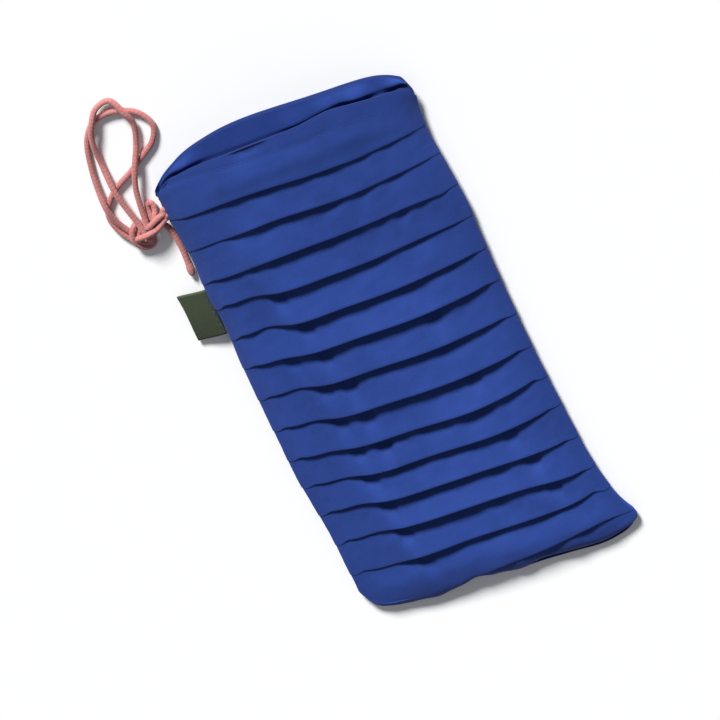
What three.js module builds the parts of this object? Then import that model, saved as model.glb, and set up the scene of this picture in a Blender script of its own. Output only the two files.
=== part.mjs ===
// Drawstring pouch for folded glasses, lying on its back, in millimetres.
// +Z is up, +Y points to the mouth, and the cord and the label leave the seam on the -X side.
// The origin is the middle of the flat underside of the back panel.
import * as THREE from "three";

// Outline of the pouch
const BOTTOM_WIDTH = 95;
const MOUTH_WIDTH = 92;
const SIDE_LENGTH = 174; // along a side seam, from the bottom corner to the mouth corner
const MOUTH_ARC = 9; // how far the middle of the mouth edge stands out beyond its corners
const MOUTH_CURVE = 2; // power of the mouth's outline on the label side, where it is round
const FAR_MOUTH_CURVE = 5; // and on the far side, where the corner is squarer
const BOTTOM_ARC = 8.5;
const BOTTOM_CURVE = 6;
const SIDE_BOW = 3; // the soft pouch lies a little bent, with its waist towards the label

// Cross-section
const CLOTH = 0.8; // outer cloth with its backing
const LINING = 0.5;
const FACING = 0.5;
const GAP = 0.3; // clearance between pieces that lie on each other
const SEAM_GAP = 1.0; // between the two panels where the seam thread runs
const BODY_CROWN = 8.5; // how far the front panel stands over the seam in the middle
const MOUTH_CROWN = 13.4;
const MOUTH_RUN = 70; // length over which the body swells into the open mouth
const BOTTOM_RUN = 22; // length over which the body swells from the bottom seam
const BOTTOM_LIFT = 1.0; // how far the seams curl up from the table
const MOUTH_LIFT = 2.0;
const FLAT_SHARE = 0.55; // share of the half width that lies flat on the table
const ARCH_CURVE = 2.2; // powers of the arched section: how flat its top is
const ARCH_SHOULDER = 0.75; // and how steeply it drops to the seams

// Knife tucks across the front panel
const TUCK_COUNT = 13;
const FIRST_TUCK = 15.6; // from the mouth edge to the middle of the first fold
const LAST_BAND = 19; // from the last full fold to the bottom seam
const TUCK_UNDERLAP = 3.0; // how far a fold covers the next band
const TUCK_RISE = 2.4; // height of a fold over the crease above it
const TUCK_EDGE = 0.9; // thickness of the folded edge
const TUCK_SEAM_SHARE = 0.4; // what is left of the rise where the tucks are caught in the seams
const TUCK_FADE_START = 0.6; // share of the half width where the rise starts to fade
const TUCK_DRIFT = 1.7; // the middle folds lie this much lower than evenly spaced ones
const DRIFT_CURVE = 1.5; // power that sets how far down the drift is greatest
const FIRST_SLANT = 1.3; // the first folds' ends sit lower at the label side
const SLANTED_TUCKS = 6;
const FIRST_BEND = -3.0; // the first fold's ends curve towards the mouth
const LAST_BEND = 6.2; // and the last full fold's ends away from it
const BEND_CURVE = 3; // power of a fold's line across the pouch
const FOLD_DIP = 2.0; // the folds dip towards the mouth near the label's seam
const FOLD_DIP_PLACE = -0.7;
const FOLD_DIP_WIDTH = 0.2;
const STRAIGHT_TUCKS = 3; // the first folds have no dip
const SEAM_TUCK = 3.6; // from the shallow tuck by the bottom seam to that seam
const SEAM_TUCK_BEND = 1.4;
const SEAM_TUCK_SHARE = 0.35; // its rise, as a share of the others'

// Drawstring and its channel
const CORD_DIAMETER = 2.0;
const CORD_SLACK = 0.45; // play between the cord and the cloth around it
const HEADING = 6.5; // from the mouth edge to the upper channel stitch
const CHANNEL_WIDTH = 8.5;
const CHANNEL_SHOULDER = 1.7; // cloth between a channel stitch and the open channel
const FACING_MARGIN = 2.0; // facing beyond the lower channel stitch
const FACING_START = 1.0;
const LEAD_ROOM_START = 0.4; // share of the half width where the channel opens for the cord ends
const LEAD_ROOM_END = 0.6;
const RUN_SHARE = 0.68; // share of the half width that the cord crosses inside the front channel
const RUN_END = 0.8; // share where the front channel has closed again
const LEAD_LENGTH = 19; // straight cord inside the channel, which the drawstring can be pulled by
const LEAD_SPREAD = 1.25; // each cord end lies this far from the channel's middle
const EXIT_HUMP = 1.8; // how far the front panel is lifted over the cord exit
const EXIT_HALF_LENGTH = 6.5;
const EXIT_START = 0.9; // share of the half width where the front panel starts to lift

// Label and threads
const LABEL_LENGTH = 17.7;
const LABEL_REACH = 9.4;
const LABEL_START = 44.2; // from the mouth corner down the seam to the label
const LABEL_LAYER = 0.35;
const LABEL_FOLD_GAP = 0.3;
const LABEL_SEAT = 0.35; // clearance to the seam
const LABEL_DROP = 1.3; // the free end hangs this much lower than the seam
const THREAD_RADIUS = 0.2;
const THREAD_INSET = 1.2; // from a panel's edge to its seam thread
const LABEL_STITCH_INSET = 3.0;
const LINING_SHARE = 0.92; // share of the half width that the lining covers
const FACING_SHARE = 0.9;
const STITCH_SHARE = 0.88;
const BOTTOM_STITCH_SHARE = 0.96;
const LINING_BOTTOM_MARGIN = 14;

// Fineness of the surfaces
const COLUMNS = 16;
const CORD_SIDES = 8;
const CORD_STEP = 5;
const THREAD_SIDES = 5;
const THREAD_STEPS = 16;
const RUN_STEPS = 12;
const KNOT_SIDES = 14;
const KNOT_RINGS = 10;
const FOLD_STEPS = 4;

const TUCK_PITCH = (SIDE_LENGTH - FIRST_TUCK - LAST_BAND) / (TUCK_COUNT - 1);
const CORD_RADIUS = CORD_DIAMETER / 2;
const CHANNEL_MIDDLE = HEADING + CHANNEL_WIDTH / 2;
const CHANNEL_END = HEADING + CHANNEL_WIDTH;
const FACING_END = CHANNEL_END + FACING_MARGIN;

// Materials
const cloth = { color: 0x2c448b, roughness: 0.85, metalness: 0 };
const liningCloth = { color: 0x263b78, roughness: 0.9, metalness: 0 };
const cord = { color: 0xd78c82, roughness: 0.8, metalness: 0 };
const ribbon = { color: 0x3c4434, roughness: 0.75, metalness: 0 };
const thread = { color: 0x22376f, roughness: 0.7, metalness: 0 };

const smooth = (x) => {
  const s = Math.min(Math.max(x, 0), 1);
  return s * s * (3 - 2 * s);
};

// u runs across the pouch from -1 to 1, and v down the side seam from the mouth corner.
const mouthward = (v) => 1 - v / SIDE_LENGTH;
const halfWidth = (v) => THREE.MathUtils.lerp(BOTTOM_WIDTH, MOUTH_WIDTH, mouthward(v)) / 2;
const middleX = (v) => -SIDE_BOW * (1 - (2 * mouthward(v) - 1) ** 2);
const planX = (u, v) => middleX(v) + u * halfWidth(v);
const mouthArc = (u) => MOUTH_ARC * (1 - Math.abs(u) ** (u > 0 ? FAR_MOUTH_CURVE : MOUTH_CURVE));
const bottomArc = (u) => BOTTOM_ARC * (1 - Math.abs(u) ** BOTTOM_CURVE);
const planY = (u, v) => {
  const mouthEnd = SIDE_LENGTH / 2 + mouthArc(u);
  const bottomEnd = -SIDE_LENGTH / 2 - bottomArc(u);
  return THREE.MathUtils.lerp(bottomEnd, mouthEnd, mouthward(v));
};

// Heights of the cloth layers
function backUnder(u, v) {
  const lift = THREE.MathUtils.lerp(BOTTOM_LIFT, MOUTH_LIFT, mouthward(v));
  return lift * smooth((Math.abs(u) - FLAT_SHARE) / (1 - FLAT_SHARE));
}
const backTop = (u, v) => backUnder(u, v) + CLOTH;
const arch = (u) => Math.max(1 - Math.abs(u) ** ARCH_CURVE, 0) ** ARCH_SHOULDER;
function crown(v) {
  const open = BODY_CROWN + (MOUTH_CROWN - BODY_CROWN) * smooth(1 - v / MOUTH_RUN);
  return open * (1 - Math.exp(-(SIDE_LENGTH - v) / BOTTOM_RUN));
}
function exitHump(u, v) {
  const along = 1 - Math.abs(v - CHANNEL_MIDDLE) / EXIT_HALF_LENGTH;
  return EXIT_HUMP * smooth(2 * along) * smooth((-u - EXIT_START) / (1 - EXIT_START));
}
const frontUnder = (u, v) => backTop(u, v) + SEAM_GAP + crown(v) * arch(u) + exitHump(u, v);

// Places across the pouch, which lie closer together towards the seams
const across = (share = 1, count = COLUMNS) =>
  Array.from({ length: count + 1 }, (_, i) => {
    const even = (2 * i) / count - 1;
    return (share * (Math.sin((even * Math.PI) / 2) + even)) / 2;
  });
const along = (from, to, count) =>
  Array.from({ length: count + 1 }, (_, i) => THREE.MathUtils.lerp(from, to, i / count));
const row = (us, v, height) => us.map((u) => new THREE.Vector3(planX(u, v), planY(u, v), height(u, v)));

// A closed sheet from its stations, which run from the mouth to the bottom. Each has a row of
// points over the cloth and one under it, from -X to +X, and may have a fold: two more rows,
// above and below a folded edge that stands out over the next station.
function sheet(stations) {
  const points = [];
  const faces = [];
  const place = (one) =>
    one.map((p) => {
      points.push(p);
      return points.length - 1;
    });
  const quad = (a, b, c, d) => faces.push([a, b, c], [a, c, d]);
  const strip = (upper, lower) => {
    for (let j = 0; j + 1 < upper.length; j++) quad(upper[j], lower[j], lower[j + 1], upper[j + 1]);
  };
  const levels = stations.map(({ over, under, fold = [] }) => ({
    over: place(over),
    under: place(under),
    fold: fold.map(place),
  }));
  const last = levels[0].over.length - 1;
  const cap = (j, ...ring) => {
    const corners = ring.map((one) => one[j]);
    quad(...(j === 0 ? corners.reverse() : corners));
  };
  levels.slice(1).forEach((level, i) => {
    const before = levels[i];
    const chain = [before.over, ...level.fold, level.over];
    for (let k = 0; k + 1 < chain.length; k++) strip(chain[k], chain[k + 1]);
    strip(level.under, before.under);
    for (const j of [0, last]) {
      cap(j, before.over, level.over, level.under, before.under);
      if (level.fold.length) cap(j, ...chain);
    }
  });
  strip(levels[0].under, levels[0].over);
  strip(levels.at(-1).over, levels.at(-1).under);
  const geometry = new THREE.BufferGeometry().setFromPoints(points);
  geometry.setIndex(faces.flat());
  geometry.computeVertexNormals();
  return geometry;
}

// A sheet of even thickness that follows one height function.
function evenSheet(us, stations, under, thickness) {
  const over = (u, v) => under(u, v) + thickness;
  return sheet(stations.map((v) => ({ over: row(us, v, over), under: row(us, v, under) })));
}

// A round cord or thread along points, with flat ends.
function tube(points, radius, sides, step) {
  const curve = new THREE.CatmullRomCurve3(points, false, "centripetal");
  const section = new THREE.Shape(
    Array.from({ length: sides }, (_, i) => {
      const a = (2 * Math.PI * (i + 0.5)) / sides;
      return new THREE.Vector2(radius * Math.cos(a), radius * Math.sin(a));
    }),
  );
  const steps = Math.max(2, Math.round(curve.getLength() / step));
  return new THREE.ExtrudeGeometry(section, { steps, extrudePath: curve, bevelEnabled: false });
}

function piece(name, geometry, finish) {
  const mesh = new THREE.Mesh(geometry, new THREE.MeshStandardMaterial(finish));
  mesh.name = name;
  return mesh;
}

// Front panel with its tucks: each folded edge stands over the band below it.
function frontPanel() {
  const us = across();
  const fade = (u) => smooth((Math.abs(u) - TUCK_FADE_START) / (1 - TUCK_FADE_START));
  const share = (u) => THREE.MathUtils.lerp(1, TUCK_SEAM_SHARE, fade(u));
  const bend = (u, amount) => amount * Math.abs(u) ** BEND_CURVE;
  const foldLine = (i) => (u) => {
    const way = i / (TUCK_COUNT - 1);
    const drift = TUCK_DRIFT * Math.sin(Math.PI * way ** DRIFT_CURVE);
    const slant = -Math.sign(u) * FIRST_SLANT * Math.max(1 - i / SLANTED_TUCKS, 0);
    const ends = bend(u, THREE.MathUtils.lerp(FIRST_BEND, LAST_BEND, way ** 2) + slant);
    const besideDip = (u - FOLD_DIP_PLACE) / FOLD_DIP_WIDTH;
    const dip = i < STRAIGHT_TUCKS ? 0 : FOLD_DIP * Math.exp(-(besideDip ** 2));
    return FIRST_TUCK + i * TUCK_PITCH + drift + ends - dip;
  };
  const seamTuckLine = (u) => SIDE_LENGTH - SEAM_TUCK + bend(u, SEAM_TUCK_BEND);
  const at = (u, v, rise) => new THREE.Vector3(planX(u, v), planY(u, v), frontUnder(u, v) + CLOTH + rise);
  const plain = (v) => ({ over: us.map((u) => at(u, v, 0)), under: us.map((u) => at(u, v, -CLOTH)) });
  const tuck = (edge, rise) => {
    const crease = (u) => edge(u) - TUCK_UNDERLAP;
    return {
      over: us.map((u) => at(u, crease(u), 0)),
      under: us.map((u) => at(u, crease(u), -CLOTH)),
      fold: [
        us.map((u) => at(u, edge(u), TUCK_RISE * rise * share(u))),
        us.map((u) => at(u, edge(u) - GAP, (TUCK_RISE - TUCK_EDGE) * rise * share(u))),
      ],
    };
  };
  const tucks = Array.from({ length: TUCK_COUNT }, (_, i) => tuck(foldLine(i), 1));
  const overExit = (u) => (HEADING + foldLine(0)(u) - TUCK_UNDERLAP) / 2;
  return sheet([
    ...[0, HEADING / 2, HEADING].map(plain),
    {
      over: us.map((u) => at(u, overExit(u), 0)),
      under: us.map((u) => at(u, overExit(u), -CLOTH)),
    },
    ...tucks,
    tuck(seamTuckLine, SEAM_TUCK_SHARE),
    ...[SIDE_LENGTH - THREAD_INSET, SIDE_LENGTH].map(plain),
  ]);
}

const backPanel = () => evenSheet(across(), along(0, SIDE_LENGTH, TUCK_COUNT), backUnder, CLOTH);

// Linings inside both panels, from the facings down to the bottom seam
const liningStations = along(FACING_END + GAP, SIDE_LENGTH - LINING_BOTTOM_MARGIN, TUCK_COUNT - 1);
const frontLining = () =>
  evenSheet(across(LINING_SHARE), liningStations, (u, v) => frontUnder(u, v) - GAP - LINING, LINING);
const backLining = () =>
  evenSheet(across(LINING_SHARE), liningStations, (u, v) => backTop(u, v) + GAP, LINING);

// Channel: between its two stitches the facing stands off the panel by the cord and its play.
const channelDepth = CORD_DIAMETER + 2 * CORD_SLACK;
const stitchDepth = 2 * (THREAD_RADIUS + GAP);
const facingStations = [
  FACING_START,
  HEADING,
  HEADING + CHANNEL_SHOULDER,
  CHANNEL_MIDDLE,
  CHANNEL_END - CHANNEL_SHOULDER,
  CHANNEL_END,
  FACING_END,
];
const inChannel = (v) => v > HEADING && v < CHANNEL_END;
function facingDepth(v) {
  if (inChannel(v)) return channelDepth;
  return v === HEADING || v === CHANNEL_END ? stitchDepth : GAP;
}
function frontFacingDepth(u, v) {
  const side = smooth((Math.abs(u) - RUN_SHARE) / (RUN_END - RUN_SHARE));
  return THREE.MathUtils.lerp(facingDepth(v), GAP, side);
}
function backFacingDepth(u, v) {
  const wide = smooth((Math.abs(u) - LEAD_ROOM_START) / (LEAD_ROOM_END - LEAD_ROOM_START));
  return facingDepth(v) + (inChannel(v) ? (backTop(1, v) - backTop(u, v)) * wide : 0);
}
const frontFacing = () =>
  evenSheet(
    across(FACING_SHARE),
    facingStations,
    (u, v) => frontUnder(u, v) - frontFacingDepth(u, v) - FACING,
    FACING,
  );
const backFacing = () =>
  evenSheet(
    across(FACING_SHARE),
    facingStations,
    (u, v) => backTop(u, v) + backFacingDepth(u, v),
    FACING,
  );

// Threads: each runs between the two layers that it holds.
function threadAcross(v, share, height) {
  const points = along(-share, share, THREAD_STEPS).map(
    (u) => new THREE.Vector3(planX(u, v), planY(u, v), height(u, v)),
  );
  return tube(points, THREAD_RADIUS, THREAD_SIDES, (2 * BOTTOM_WIDTH * share) / THREAD_STEPS / 2);
}
function threadDown(side, from, to, inset) {
  const points = along(from, to, THREAD_STEPS).map((v) => {
    const u = side * (1 - inset / halfWidth(v));
    return new THREE.Vector3(planX(u, v), planY(u, v), backTop(u, v) + GAP + THREAD_RADIUS);
  });
  return tube(points, THREAD_RADIUS, THREAD_SIDES, (to - from) / THREAD_STEPS);
}
const seamEnd = SIDE_LENGTH - 2 * THREAD_INSET;
const onBack = (u, v) => backTop(u, v) + GAP + THREAD_RADIUS;
const underFront = (u, v) => frontUnder(u, v) - GAP - THREAD_RADIUS;

// Label: a short ribbon folded in half, caught in the side seam by its two ends.
const LABEL_END = LABEL_START + LABEL_LENGTH;
const LABEL_MIDDLE = LABEL_START + LABEL_LENGTH / 2;
const labelEdge = planX(-1, LABEL_MIDDLE);
const labelMiddle = planY(-1, LABEL_MIDDLE);
const labelHeight = backTop(1, LABEL_MIDDLE) + SEAM_GAP / 2;
function sideLabel() {
  const reach = LABEL_REACH - LABEL_SEAT;
  const half = LABEL_LAYER + LABEL_FOLD_GAP / 2;
  const slit = LABEL_FOLD_GAP / 2;
  const outline = new THREE.Shape();
  outline.moveTo(0, slit);
  outline.lineTo(0, half);
  outline.lineTo(-reach + half, half);
  outline.absarc(-reach + half, 0, half, Math.PI / 2, (3 * Math.PI) / 2, false);
  outline.lineTo(0, -half);
  outline.lineTo(0, -slit);
  outline.lineTo(-reach + half, -slit);
  outline.lineTo(-reach + half, slit);
  outline.closePath();
  const geometry = new THREE.ExtrudeGeometry(outline, {
    depth: LABEL_LENGTH,
    bevelEnabled: false,
    curveSegments: FOLD_STEPS,
  });
  geometry.translate(0, 0, -LABEL_LENGTH / 2);
  geometry.rotateX(Math.PI / 2);
  geometry.rotateY(-Math.asin(LABEL_DROP / reach));
  geometry.translate(labelEdge - LABEL_SEAT, labelMiddle, labelHeight);
  return geometry;
}

// Drawstring: one cord. Its middle runs through the channel round the far corner, and both ends
// leave the seam beside each other and are tied in a bow.
const exit = new THREE.Vector3(
  planX(-1, CHANNEL_MIDDLE),
  planY(-1, CHANNEL_MIDDLE),
  backTop(1, CHANNEL_MIDDLE) + GAP + CORD_RADIUS,
);
const leadShare = -1 + LEAD_LENGTH / halfWidth(CHANNEL_MIDDLE);
const leadDirection = new THREE.Vector3(
  exit.x - planX(leadShare, CHANNEL_MIDDLE),
  exit.y - planY(leadShare, CHANNEL_MIDDLE),
  0,
).normalize();
const leadSide = new THREE.Vector3(leadDirection.y, -leadDirection.x, 0);
const runShare = -leadShare - 2 * GAP / halfWidth(CHANNEL_MIDDLE);
function channelRun(from, to, height) {
  const points = along(from, to, RUN_STEPS).map(
    (u) =>
      new THREE.Vector3(
        planX(u, CHANNEL_MIDDLE),
        planY(u, CHANNEL_MIDDLE),
        height(u, CHANNEL_MIDDLE),
      ),
  );
  return tube(points, CORD_RADIUS, CORD_SIDES, CORD_STEP);
}
function lead(side, route) {
  const start = exit.clone().addScaledVector(leadSide, side * LEAD_SPREAD);
  const inner = start.clone().addScaledVector(leadDirection, -LEAD_LENGTH);
  const half = inner.clone().lerp(start, 0.5);
  const free = route.map(([x, y, z]) => new THREE.Vector3(x, y, z));
  return tube([inner, half, start, ...free], CORD_RADIUS, CORD_SIDES, CORD_STEP);
}

// Routes of the bow on the table, chosen by hand: x, y and height of the cord's middle
const FRONT_LEAD_ROUTE = [
  [-48.6, 76.9, 3.9],
  [-50.2, 75.6, 3.4],
  [-52.7, 72.9, 3.0],
];
const BACK_LEAD_ROUTE = [
  [-48.0, 73.8, 3.9],
  [-49.2, 72.2, 3.3],
  [-51.5, 70.8, 2.8],
];
const LONG_LOOP_ROUTE = [
  [-58.2, 74.6, 3.2],
  [-59.6, 81.0, 3.3],
  [-60.5, 88.0, 3.4],
  [-60.8, 97.5, 1.3],
  [-59.7, 106.5, 2.6],
  [-57.4, 112.5, 3.4],
  [-53.6, 117.4, 2.4],
  [-48.6, 118.4, 2.2],
  [-45.6, 113.0, 3.4],
  [-44.9, 108.0, 2.2],
  [-47.0, 101.2, 1.8],
  [-51.2, 92.7, 3.4],
  [-53.6, 86.6, 3.3],
  [-54.8, 81.0, 3.2],
  [-55.4, 75.2, 3.2],
];
const ROUND_LOOP_ROUTE = [
  [-64.0, 68.5, 1.1],
  [-66.6, 73.0, 1.1],
  [-67.0, 77.5, 1.1],
  [-65.6, 82.0, 1.1],
  [-60.2, 87.6, 1.1],
  [-53.4, 91.5, 1.1],
  [-48.2, 95.1, 1.1],
  [-42.0, 99.7, 1.1],
  [-39.6, 105.0, 1.1],
  [-42.0, 110.4, 1.1],
  [-46.6, 113.1, 1.1],
  [-52.1, 114.0, 1.1],
  [-57.2, 112.4, 1.1],
  [-61.6, 107.0, 1.1],
  [-64.6, 97.0, 1.1],
  [-65.6, 89.5, 2.0],
  [-65.6, 82.8, 3.5],
  [-64.6, 77.0, 2.2],
  [-63.4, 72.6, 2.6],
];
const LONG_TAIL_ROUTE = [
  [-50.7, 67.9, 1.1],
  [-50.8, 64.4, 1.1],
  [-50.8, 59.9, 1.1],
  [-50.9, 55.0, 1.1],
  [-51.4, 49.2, 1.1],
];
const SHORT_TAIL_ROUTE = [
  [-54.2, 75.4, 1.1],
  [-54.0, 78.0, 1.1],
  [-53.5, 81.0, 1.1],
];
const KNOT_MIDDLE = [-57.2, 69.2, 2.65];
const KNOT_SIZE = [10.6, 10.0, 5.0];

const alongRoute = (route) =>
  tube(
    route.map(([x, y, z]) => new THREE.Vector3(x, y, z)),
    CORD_RADIUS,
    CORD_SIDES,
    CORD_STEP,
  );
function bowKnot() {
  const geometry = new THREE.SphereGeometry(1 / 2, KNOT_SIDES, KNOT_RINGS);
  geometry.rotateX(Math.PI / 2);
  geometry.scale(...KNOT_SIZE);
  geometry.translate(...KNOT_MIDDLE);
  return geometry;
}

const backHalf = new THREE.Group();
backHalf.add(
  piece("back_panel", backPanel(), cloth),
  piece("back_lining", backLining(), liningCloth),
  piece("back_facing", backFacing(), cloth),
  piece("back_heading_stitch", threadAcross(HEADING, STITCH_SHARE, onBack), thread),
  piece("back_channel_stitch", threadAcross(CHANNEL_END, STITCH_SHARE, onBack), thread),
  piece("left_seam_thread", threadDown(-1, FACING_END, seamEnd, THREAD_INSET), thread),
  piece("right_seam_thread", threadDown(1, THREAD_INSET, seamEnd, THREAD_INSET), thread),
  piece(
    "bottom_seam_thread",
    threadAcross(SIDE_LENGTH - THREAD_INSET, BOTTOM_STITCH_SHARE, onBack),
    thread,
  ),
  piece("label_stitch", threadDown(-1, LABEL_START, LABEL_END, LABEL_STITCH_INSET), thread),
  piece(
    "drawstring_back_run",
    channelRun(-runShare, FACING_SHARE, (u, v) => backTop(u, v) + CORD_SLACK + CORD_RADIUS),
    cord,
  ),
);

const frontHalf = new THREE.Group();
frontHalf.add(
  piece("front_panel", frontPanel(), cloth),
  piece("front_lining", frontLining(), liningCloth),
  piece("front_facing", frontFacing(), cloth),
  piece("front_heading_stitch", threadAcross(HEADING, RUN_SHARE, underFront), thread),
  piece("front_channel_stitch", threadAcross(CHANNEL_END, RUN_SHARE, underFront), thread),
  piece(
    "drawstring_front_run",
    channelRun(-RUN_SHARE, RUN_SHARE, (u, v) => frontUnder(u, v) - CORD_SLACK - CORD_RADIUS),
    cord,
  ),
);

const bow = new THREE.Group();
bow.add(
  piece("drawstring_front_lead", lead(1, FRONT_LEAD_ROUTE), cord),
  piece("drawstring_back_lead", lead(-1, BACK_LEAD_ROUTE), cord),
  piece("bow_knot", bowKnot(), cord),
  piece("bow_loop_long", alongRoute(LONG_LOOP_ROUTE), cord),
  piece("bow_loop_round", alongRoute(ROUND_LOOP_ROUTE), cord),
  piece("bow_tail_short", alongRoute(SHORT_TAIL_ROUTE), cord),
  piece("bow_tail_long", alongRoute(LONG_TAIL_ROUTE), cord),
);

const pouch = new THREE.Group();
pouch.add(backHalf, frontHalf, bow, piece("side_label", sideLabel(), ribbon));

export default pouch;
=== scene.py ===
# Drawstring pouch for folded glasses, lying on its back on a pale table, its cord tied in a bow.
# Places are in millimetres in the pouch's own frame: +Z is up, +Y points to the mouth, and the
# cord and the label leave the seam on the -X side. MM turns them into metres.
import math

import bpy
import numpy as np
from mathutils import Matrix, Vector


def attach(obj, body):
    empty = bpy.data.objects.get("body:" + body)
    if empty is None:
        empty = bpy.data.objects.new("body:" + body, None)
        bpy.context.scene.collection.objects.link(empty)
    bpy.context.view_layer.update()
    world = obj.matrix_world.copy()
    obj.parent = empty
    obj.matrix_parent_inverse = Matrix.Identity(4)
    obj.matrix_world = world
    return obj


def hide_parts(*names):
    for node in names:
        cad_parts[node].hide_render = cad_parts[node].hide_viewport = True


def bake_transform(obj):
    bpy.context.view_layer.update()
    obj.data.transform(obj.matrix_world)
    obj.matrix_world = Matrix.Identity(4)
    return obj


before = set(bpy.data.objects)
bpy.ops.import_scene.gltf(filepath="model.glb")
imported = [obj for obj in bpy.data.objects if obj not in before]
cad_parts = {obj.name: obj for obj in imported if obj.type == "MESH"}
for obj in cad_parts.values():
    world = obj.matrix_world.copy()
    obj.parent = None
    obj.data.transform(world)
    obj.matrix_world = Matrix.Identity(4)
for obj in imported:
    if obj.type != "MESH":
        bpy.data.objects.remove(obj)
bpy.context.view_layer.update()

MM = 0.001

# Outline of the pouch
BOTTOM_WIDTH = 95
MOUTH_WIDTH = 92
HALF_MOUTH = MOUTH_WIDTH / 2
SIDE_LENGTH = 174
MOUTH_ARC = 9
MOUTH_CURVE = 2
FAR_MOUTH_CURVE = 5
BOTTOM_ARC = 8.5
BOTTOM_CURVE = 6
SIDE_BOW = 3
CLOTH = 0.8
SEAM_GAP = 1.0
BODY_CROWN = 8.5
MOUTH_CROWN = 13.4
MOUTH_RUN = 70
END_RUN = 4.5
TAPER = 0.72  # how much of its height the pouch loses towards the bottom
TAPER_START = 30
BOTTOM_LIFT = 1.0
MOUTH_LIFT = 2.0
FLAT_SHARE = 0.55
ARCH_CURVE = 2.2
ARCH_SHOULDER = 0.75
CORD_DIAMETER = 2.0
HEADING = 6.5
CHANNEL_END = 15
CHANNEL_MIDDLE = 10.75
FACING_END = 17
LEAD_LENGTH = 19
LEAD_SPREAD = 1.05
LEAD_SAG = 1.3  # how far below the channel's middle the cord ends leave it
CORD_CLEARANCE = 0.3  # between the cord and the back under it

# What the soft cloth adds to that outline. Places across run from -1 at the label's seam to 1.
FRONT_MOUTH_EDGE = [(-1, 6.4), (-0.97, 4.2), (-0.94, 2.6), (-0.9, 1.4), (-0.8, 0.9), (-0.45, 1.3),
                    (0.15, 1.0), (0.42, -0.1), (0.55, 0.6), (0.7, 0.9), (0.8, 0.3), (0.88, -0.5),
                    (0.94, -1.5), (0.97, -1.1), (1, 1.2)]
BACK_MOUTH_EDGE = [(-1, 5.4), (-0.985, 3.4), (-0.965, 2.0), (-0.93, 0.7), (-0.84, -0.7),
                   (-0.56, -1.3), (0, -0.3), (0.45, -0.15), (0.6, -0.55), (0.75, -1.6), (0.84, -2.4),
                   (0.9, -3.0), (0.965, -3.2), (1, -1.6)]
BOTTOM_EDGE = [(-1, 180.4), (-0.92, 178.5), (-0.8, 177.0), (-0.59, 176.6), (-0.42, 176.0),
               (-0.3, 175.0), (-0.2, 173.4), (-0.08, 174.8), (0.03, 175.5), (0.35, 175.6),
               (0.56, 176.1), (0.71, 177.0), (0.87, 177.9), (1, 179.6)]
HEADING_CREASE = [(-1, 2.0), (-0.69, 3.3), (-0.39, 5.2), (0, 6.0), (0.4, 6.0), (1, 5.6)]
LEFT_CORNER = (172.5, 13.5)  # where a bottom corner starts to turn in, and its radius
RIGHT_CORNER = (174.5, 5.5)
# How far the side edges stray from that outline: place down the side, and how far to the right
LEFT_EDGE = [(0, -1.3), (3, -2.3), (5, -2.6), (8, -2.2), (12, -2.2), (20, -1.1), (32, -0.1),
             (45, -0.3), (60, 0.7), (70, 0.2), (90, -0.2), (110, -0.6), (122, -1.0), (135, -0.6),
             (150, -0.4), (160, -1.0), (168, -1.4), (176, -2.2)]
RIGHT_EDGE = [(-3, -2.4), (0, -2.1), (4, -2.8), (20, -2.7), (26, -1.9), (32, -1.4), (42, -0.5),
              (56, -0.7), (80, -1.1), (125, -1.4), (156, -1.1), (164, -0.3), (170, 1.0), (176, 3.2),
              (181, 4.2)]

# How far down the side each folded edge lies at its left end, its middle and its right end
FOLDS = [(14.8, 16.8, 13.6), (27.4, 27.4, 24.9), (39.2, 39.4, 37.2), (49.1, 51.5, 48.4),
         (61.8, 63.6, 60.6), (73.6, 75.1, 72.6), (86.7, 87.5, 86.5), (99.1, 100.4, 99.5),
         (111.8, 112.6, 111.4), (123.6, 123.4, 124.1), (136.0, 134.2, 138.1),
         (148.9, 145.0, 151.5), (162.2, 157.0, 159.0)]
# The folds that slant or bend more than that: place across, how far down the side
FREE_FOLDS = {1: [(-1, 14.7), (-0.7, 15.4), (-0.4, 15.8), (0, 16.7), (0.28, 17.2), (0.45, 17.6),
                  (0.6, 17.2), (0.75, 16.2), (0.9, 14.1), (1, 12.2)],
              2: [(-1, 28.0), (-0.9, 27.2), (-0.6, 27.4), (-0.3, 27.0), (0, 27.5), (0.4, 28.0),
                  (0.6, 27.6), (0.75, 26.7), (0.9, 24.8), (1, 23.2)],
              14: [(-1, 179.0), (-0.8, 176.1), (-0.5, 174.8), (-0.3, 173.6), (-0.2, 172.2),
                   (-0.1, 171.4), (0.07, 170.4), (0.23, 169.8), (0.39, 169.1), (0.55, 168.3),
                   (0.71, 167.9), (0.87, 169.4), (1, 174.5)]}
FOLD_BEND = 3  # how late a fold's ends curve away
# How much further down each fold runs in its last few millimetres, left and right
FOLD_ENDS = [(0, 0), (0, 0), (1.9, -1.2), (2.7, 0), (2.7, 0.8), (2.4, 1.4), (2.6, 1.6),
             (3.2, 2.0), (3.2, 3.0), (3.2, 2.0), (3.2, 1.9), (3.4, 1.5), (3.2, 4.0)]
FOLD_END_START = 0.87
HOOK_PLACE = -0.7  # where the folds dip towards the mouth
HOOK_WIDTH = 0.2
HOOKS = [0.7, -0.3, -0.4, 1.2, 1.4, 1.0, 1.3, 1.1, 1.1, 1.1, 1.6, 0.9, -0.2]
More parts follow.
